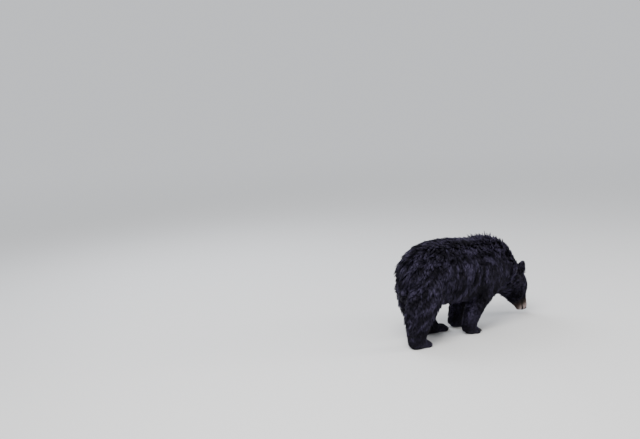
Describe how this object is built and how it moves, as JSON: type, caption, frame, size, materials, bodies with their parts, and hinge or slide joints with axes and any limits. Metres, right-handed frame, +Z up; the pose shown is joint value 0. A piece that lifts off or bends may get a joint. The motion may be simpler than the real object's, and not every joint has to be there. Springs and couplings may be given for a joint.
{
  "type": "american black bear",
  "caption": "Still life-size model of an American black bear with a shaggy black coat and a tan muzzle, walking with its head lowered to feed.",
  "frame": {"origin": "on the floor, at the middle of the bear's box", "axes": "+X where the bear faces, +Y to its left, +Z up"},
  "size_m": [1.4836, 0.4888, 0.7953],
  "materials": {
    "black_coat": "matte long fur",
    "tan_coat": "matte short fur",
    "nose_leather": "satin",
    "eye": "wet gloss",
    "claw_horn": "satin"
  },
  "bodies": {
    "root": {"trunk": "black_coat", "neck": "black_coat", "head": "black_coat", "ear_left": "black_coat", "ear_right": "black_coat", "tail": "black_coat", "leg_front_right": "black_coat", "leg_front_left": "black_coat", "leg_hind_right": "black_coat", "leg_hind_left": "black_coat", "paw_front_right": "black_coat", "paw_front_left": "black_coat", "paw_hind_right": "black_coat", "paw_hind_left": "black_coat", "lower_jaw": "tan_coat", "nose": "nose_leather", "eye_left": "eye", "eye_right": "eye", "claw_front_right_1": "claw_horn", "claw_front_right_2": "claw_horn", "claw_front_right_3": "claw_horn", "claw_front_right_4": "claw_horn", "claw_front_right_5": "claw_horn", "claw_front_left_1": "claw_horn", "claw_front_left_2": "claw_horn", "claw_front_left_3": "claw_horn", "claw_front_left_4": "claw_horn", "claw_front_left_5": "claw_horn", "claw_hind_right_1": "claw_horn", "claw_hind_right_2": "claw_horn", "claw_hind_right_3": "claw_horn", "claw_hind_right_4": "claw_horn", "claw_hind_right_5": "claw_horn", "claw_hind_left_1": "claw_horn", "claw_hind_left_2": "claw_horn", "claw_hind_left_3": "claw_horn", "claw_hind_left_4": "claw_horn", "claw_hind_left_5": "claw_horn"}
  },
  "joints": []
}
